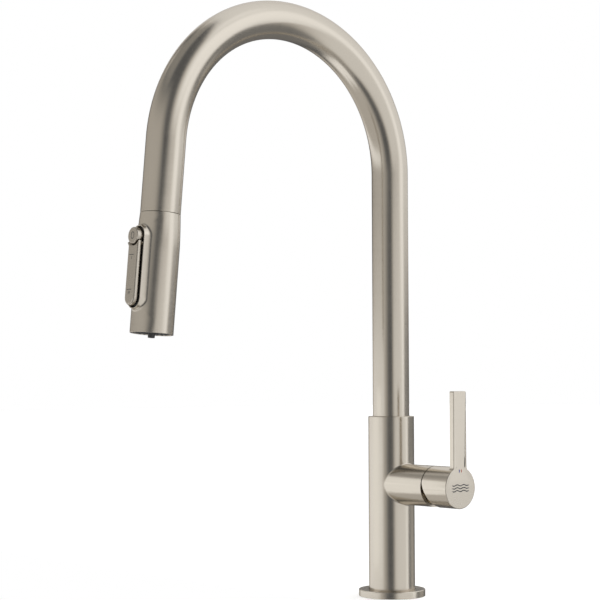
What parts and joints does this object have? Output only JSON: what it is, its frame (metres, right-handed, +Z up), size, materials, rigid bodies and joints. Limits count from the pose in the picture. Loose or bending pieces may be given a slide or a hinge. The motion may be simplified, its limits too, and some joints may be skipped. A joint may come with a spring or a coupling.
{
  "type": "pull-down kitchen faucet",
  "caption": "Tall kitchen faucet with a round gooseneck, side lever, swivelling spout and a pull-down spray head with pause button and spray selector.",
  "frame": {"origin": "centre of the base on the deck surface, on the tap hole's axis", "axes": "+Z up along the column, the spout reaches towards -Y, the lever's axis points along +X"},
  "size_m": [0.0995, 0.2688, 0.4434],
  "materials": {
    "satin_nickel": "warm satin brushed nickel",
    "brass": "machined brass",
    "stainless_steel": "machined stainless steel",
    "black_plastic": "satin black moulded plastic",
    "white_plastic": "satin off-white moulded plastic",
    "rubber": "matt black rubber",
    "ceramic": "lapped alumina ceramic",
    "magnet": "plated ferrite",
    "hose_braid": "grey braided nylon sleeve",
    "cold_blue": "blue enamel",
    "hot_red": "red enamel"
  },
  "bodies": {
    "base": {"base_flange": "satin_nickel", "base_gasket": "rubber", "mixer_body": "satin_nickel", "inlet_plate": "brass", "hot_inlet_tail": "brass", "cold_inlet_tail": "brass", "outlet_tail": "brass", "valve_manifold": "brass", "valve_housing": "satin_nickel", "cartridge_seal": "rubber", "cartridge_base": "white_plastic", "fixed_ceramic_disc": "ceramic", "cartridge_body": "white_plastic", "cartridge_nut": "brass", "thrust_washer": "white_plastic", "upper_bush": "white_plastic", "swivel_collar": "satin_nickel", "swing_stop_screw": "stainless_steel"},
    "spout": {"spout_tube": "satin_nickel", "spout_foot": "brass", "docking_socket": "black_plastic", "docking_magnet": "magnet", "spray_hose": "hose_braid"},
    "spray_head": {"head_shell": "satin_nickel", "docking_plate": "stainless_steel", "hose_ferrule": "stainless_steel", "hose_nut": "brass", "inlet_washer": "rubber", "check_valve": "white_plastic", "diverter_body": "black_plastic", "switch_carrier": "black_plastic", "selector_pin": "stainless_steel", "pause_spring": "stainless_steel", "nozzle_mat": "rubber", "spray_face": "black_plastic", "stream_nozzle": "black_plastic"},
    "pause_key": {"pause_button": "satin_nickel"},
    "selector_key": {"spray_selector": "satin_nickel"},
    "stream_valve": {"stream_plunger": "stainless_steel"},
    "spray_valve": {"spray_plunger": "stainless_steel"},
    "mixing_carrier": {"stem_carrier": "white_plastic", "stem_pivot_pin": "stainless_steel"},
    "mixing_disc": {"moving_ceramic_disc": "ceramic"},
    "lever": {"lever_handle": "satin_nickel", "lever_stem": "stainless_steel", "lever_set_screw": "stainless_steel", "cold_mark": "cold_blue", "hot_mark": "hot_red"}
  },
  "joints": [
    {"name": "spout_swivel", "type": "hinge", "parent": "base", "child": "spout", "pos_m": [0, 0, 0.108], "axis": [0, 0, 1], "range_deg": [-60, 60]},
    {"name": "spray_head_pull", "type": "slide", "parent": "spout", "child": "spray_head", "axis": [0, -0.0892, -0.996], "range_m": [0, 0.45]},
    {"name": "pause_press", "type": "slide", "parent": "spray_head", "child": "pause_key", "axis": [0, 0.996, -0.0892], "range_m": [0, 0.0015], "stiffness_N_per_m": 900, "springref_m": -0.001, "deforming": ["pause_spring"]},
    {"name": "selector_rock", "type": "hinge", "parent": "spray_head", "child": "selector_key", "pos_m": [0, -0.23693, 0.23692], "axis": [1, 0, 0], "range_deg": [-2.5, 2.5]},
    {"name": "stream_plunger_slide", "type": "slide", "parent": "spray_head", "child": "stream_valve", "axis": [0, 0.996, -0.0892], "range_m": [-0.00062, 0.00062]},
    {"name": "spray_plunger_slide", "type": "slide", "parent": "spray_head", "child": "spray_valve", "axis": [0, 0.996, -0.0892], "range_m": [-0.00062, 0.00062]},
    {"name": "lever_turn", "type": "hinge", "parent": "base", "child": "mixing_carrier", "pos_m": [0.036, 0, 0.0854], "axis": [1, 0, 0], "range_deg": [-50, 50]},
    {"name": "lever_tilt", "type": "hinge", "parent": "mixing_carrier", "child": "lever", "pos_m": [0.036, 0, 0.0854], "axis": [0, 1, 0], "range_deg": [0, 20]},
    {"name": "mixing_disc_slide", "type": "slide", "parent": "mixing_carrier", "child": "mixing_disc", "axis": [0, 0, 1], "range_m": [0, 0.0021]}
  ],
  "couplings": [
    {"joint": "stream_plunger_slide", "follows": "selector_rock", "m_per_rad": -0.014},
    {"joint": "spray_plunger_slide", "follows": "selector_rock", "m_per_rad": 0.014},
    {"joint": "mixing_disc_slide", "follows": "lever_tilt", "m_per_rad": 0.00573}
  ]
}
